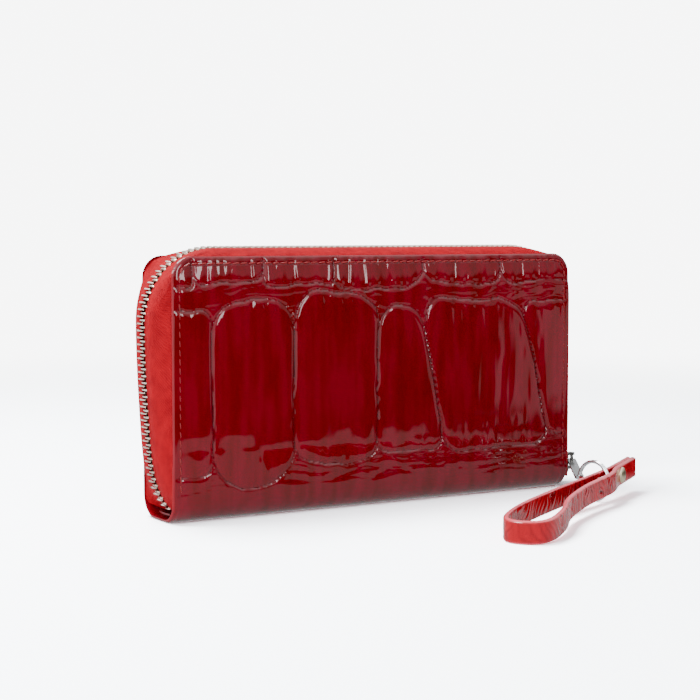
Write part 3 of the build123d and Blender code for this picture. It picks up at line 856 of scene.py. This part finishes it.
def coin_tape(name, node):
    """Narrow woven tape along the coin pocket's mouth, slightly crowned."""
    low, high = corners(node)
    u = np.linspace(low[0], high[0], 120)[:, None]
    w = np.linspace(0, 1, 8)[None, :]
    y = (low[1] + (high[1] - low[1]) * w) + 0 * u
    crown = 0.12 * np.sin(math.pi * w) + 0.05 * np.sin(u / 2.4)
    outer = np.stack([u + 0 * w, y, high[2] - 0.1 + crown], -1)
    inner = np.stack([u + 0 * w, y, low[2] + 0 * crown], -1)
    tape = shell(name, outer, inner, TAPE_CLOTH, 1, uv=np.stack([u + 0 * w, y], -1))
    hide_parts(node)
    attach(tape, "spine")


# ---------------------------------------------------------------- strap, ring and rivet

STRAP_W = 8.2
STRAP_T = 2.2
STRAP_LEN = 133.0
STRAP_RISE = 6.6
TAB = np.array([107.0, -37.5])
LOOP = np.array([-3.6, -107.2])
RIVET_S = 18.5
STRAP_ALONG = (LOOP - TAB) / np.linalg.norm(LOOP - TAB)
STRAP_FRONT = np.array([-STRAP_ALONG[1], STRAP_ALONG[0]])
# Distance along the strap from its tab end, and distance in front of its middle line.
STRAP_ROUTE = [(0, -1.2), (12, -1.2), (26, -1.2), (48, -3.7), (78, -7.5), (106, -9.9),
               (127, -7.0), (131.2, 0.5), (127, 10.4), (105, 8.6), (90, 3.9), (76, 2.5),
               (60, 1.9), (46, 3.0), (34, 3.7), (24.5, 1.5), (18, 1.2), (10, 1.2), (0, 1.2)]


def rounded_route(points, times):
    """Cuts each corner at a quarter and three quarters of its runs, time after time, which
    tends to a quadratic B-spline."""
    line = np.array(points, float)
    for _ in range(times):
        early = line[:-1] * 0.75 + line[1:] * 0.25
        late = line[:-1] * 0.25 + line[1:] * 0.75
        middle = np.stack([early, late], 1).reshape(-1, 2)
        line = np.concatenate([line[:1], middle, line[-1:]])
    return line


def even(line, step):
    """The same line with points an even step apart."""
    far = run_length(line[:, 0], line[:, 1])
    at = np.linspace(0, far[-1], int(far[-1] / step) + 1)
    return np.stack([np.interp(at, far, line[:, k]) for k in range(2)], -1), at


def strap_point(s, o, z):
    """Place in the wallet's frame of a point given along, in front of and up the strap."""
    lean = STRAP_RISE / STRAP_LEN
    plan = TAB + np.asarray(s)[..., None] * STRAP_ALONG + np.asarray(o)[..., None] * STRAP_FRONT
    height = np.asarray(z) + lean * np.maximum(STRAP_LEN - np.asarray(s), 0)
    return np.concatenate([plan, height[..., None]], -1)


def strap_section():
    """Half outline of the band's section: offsets across its thickness and up its width."""
    r = 0.55
    turn = np.linspace(0, math.pi / 2, 5)
    corner = [(STRAP_T / 2 - r + r * math.cos(a), STRAP_W / 2 - r + r * math.sin(a)) for a in turn]
    side = [(STRAP_T / 2, z) for z in np.linspace(-STRAP_W / 2 + r, STRAP_W / 2 - r, 14)[:-1]]
    top = [(n, STRAP_W / 2) for n in np.linspace(STRAP_T / 2 - r, -STRAP_T / 2 + r, 5)[1:-1]]
    quarter = np.array(side + corner + top)
    return np.concatenate([quarter, -quarter])


def strap():
    """Wrist strap: one band folded into a teardrop. Across it run pinched grooves at about
    3 mm, exp(-(phase / width)^2), whose phase drifts along the band and up its width."""
    line, at = even(rounded_route(STRAP_ROUTE, 5), 0.5)
    tangent = np.gradient(line, axis=0)
    tangent /= np.linalg.norm(tangent, axis=1)[:, None]
    normal = np.stack([-tangent[:, 1], tangent[:, 0]], -1)
    section = strap_section()
    n, z = section[None, :, 0], section[None, :, 1]
    far = at[:, None]
    phase = far / 3.3 + 0.8 * lattice_noise(far + 0 * z, z, (6, 4.5), 7) \
        + 0.17 * z * (0.8 + lattice_noise(far + 0 * z, 0 * z, (9, 1), 8))
    gap = phase - np.round(phase)
    strong = 0.75 + 0.5 * lattice_noise(far + 0 * z, z, (4, 5), 9)
    total = at[-1]
    plain = ease((far - 14) / 10) * ease((total - 26 - far) / 10)
    loop_calm = 1 - 0.75 * np.exp(-((far - 137) / 9) ** 2)
    face = np.clip((np.abs(n) - STRAP_T / 2 + 0.5) / 0.4, 0, 1)
    groove = np.exp(-(gap / 0.15) ** 2) * strong * plain * face * loop_calm
    swell = 0.22 * np.cos(2 * math.pi * phase) * plain * face * loop_calm
    lift = n + np.sign(n) * (swell - 0.62 * groove)
    s = line[:, 0][:, None] + normal[:, 0][:, None] * lift
    o = line[:, 1][:, None] + normal[:, 1][:, None] * lift
    rings = strap_point(s, o, z + STRAP_W / 2 + 0 * s)
    edge = ease((np.abs(z) - STRAP_W / 2 + 0.62) / 0.35) + 0 * far
    # The groove share also darkens the pleats' hollows in colour, a painted shade; the edge share
    # is edge paint.
    band = tube("wrist_strap_band", rings, STRAP, fields={"groove": groove, "edge": edge})
    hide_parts("wrist_strap")
    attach(band, "strap")


def turned(profile, count):
    """Points of a profile of radius and height turned round the height axis."""
    angle = np.linspace(0, 2 * math.pi, count + 1)[:-1]
    radius, height = np.array(profile, float).T
    return np.stack([radius[:, None] * np.cos(angle), radius[:, None] * np.sin(angle),
                     height[:, None] + 0 * angle], -1)


def rivet():
    """Double-capped rivet: a dome with a rolled brim on each face of the tab."""
    dome_r = 3.2
    arc = np.linspace(0, 1, 12)
    dome = [(dome_r * math.cos(a), 0.25 + 1.05 * math.sin(a)) for a in arc * math.pi / 2 * 0.98]
    profile = [(dome_r - 0.6, -0.1), (dome_r + 0.05, -0.1), (dome_r + 0.12, 0.12)] + dome
    ring = turned(profile, 40)
    side = np.array([STRAP_FRONT[0], STRAP_FRONT[1], 0.0])
    along = np.array([STRAP_ALONG[0], STRAP_ALONG[1], 0.0])
    up = np.array([0.0, 0.0, 1.0])
    for name, way in (("rivet_cap_front", 1.0), ("rivet_cap_back", -1.0)):
        base = strap_point(RIVET_S, way * 2.3, STRAP_W / 2)
        cap = base + ring[..., :1] * along + ring[..., 1:2] * up + ring[..., 2:] * side * way
        piece = tube(name, cap, RIVET)
        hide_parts("strap_rivet")
        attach(piece, "strap")


def split_ring():
    """Two turns of flat-sided spring wire lying side by side, joined by a short step."""
    low, high = corners("split_ring")
    middle = (low + high) / 2
    face = np.array([math.cos(math.radians(-81.0)), math.sin(math.radians(-81.0)), 0])
    across = np.array([-face[1], face[0], 0])
    radius = (high[2] - low[2]) / 2 - 0.6
    t = np.linspace(0, 2, 181)[:-1]
    step = 0.42 * np.tanh((np.abs(t - 1) - 0.5) * 14)
    angle = 2 * math.pi * t + 0.9
    turn = np.linspace(0, 2 * math.pi, 13)[:-1]
    wire_r, wire_a = 0.66 * np.cos(turn), 0.42 * np.sin(turn)
    spoke = np.cos(angle)[:, None] * face + np.sin(angle)[:, None] * np.array([0, 0, 1.0])
    rings = middle + (radius + wire_r)[None, :, None] * spoke[:, None, :] \
        + (step[:, None] + wire_a[None, :])[..., None] * across
    ring = tube("split_key_ring", rings, SILVER, closed=True)
    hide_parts("split_ring")
    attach(ring, "ring")


def metal_parts():
    """Gives the carried metal, resin and board parts their finishes."""
    finishes = {"zip_slider": DARK_NICKEL, "slider_pull": SILVER, "coin_slider": GOLD,
                "coin_pull": GOLD, "coin_teeth_front": RESIN, "coin_teeth_back": RESIN,
                "front_cover_board": BOARD, "back_cover_board": BOARD}
    for node, material in finishes.items():
        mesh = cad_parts[node].data
        mesh.materials.clear()
        mesh.materials.append(material)


make_camera()
make_floor()
make_light()
cover_skin("front_cover_skin", -1, FRONT_SCALES, 40, "front_cover",
           "front_cover_leather", "spine_leather")
cover_skin("back_cover_skin", 1, BACK_SCALES, 90, "back_cover", "back_cover_leather")
stitches("front_seam_stitches", -1, "front_cover")
stitches("back_seam_stitches", 1, "back_cover")
zip_tape("front_tape_cloth", -1, "front_cover", "front_zip_tape", "left_tail_tape",
         "right_tail_tape")
zip_tape("back_tape_cloth", 1, "back_cover", "back_zip_tape")
zip_row("front_zip_elements", -1, 0.0, "front_cover", "front_zip_teeth", "left_tail_teeth",
        "right_tail_teeth")
zip_row("back_zip_elements", 1, 0.5, "back_cover", "back_zip_teeth")
tail_tongue("left_spine_tongue", -1, "left_tail_tab")
tail_tongue("right_spine_tongue", 1, "right_tail_tab")
lining("front_lining_cloth", -1, "front_cover", "front_cover_lining", "spine_lining")
lining("back_lining_cloth", 1, "back_cover", "back_cover_lining")
edge_band("front_band_strip", -1, "front_cover", "front_edge_band")
edge_band("back_band_strip", 1, "back_cover", "back_edge_band")
for number in range(1, 5):
    card_slots(f"front_slot_row_{number}", -1, "front_cover", f"front_card_slots_{number}")
    card_slots(f"back_slot_row_{number}", 1, "back_cover", f"back_card_slots_{number}")
coin_bag()
coin_tape("coin_mouth_tape_front", "coin_tape_front")
coin_tape("coin_mouth_tape_back", "coin_tape_back")
strap()
rivet()
split_ring()
metal_parts()
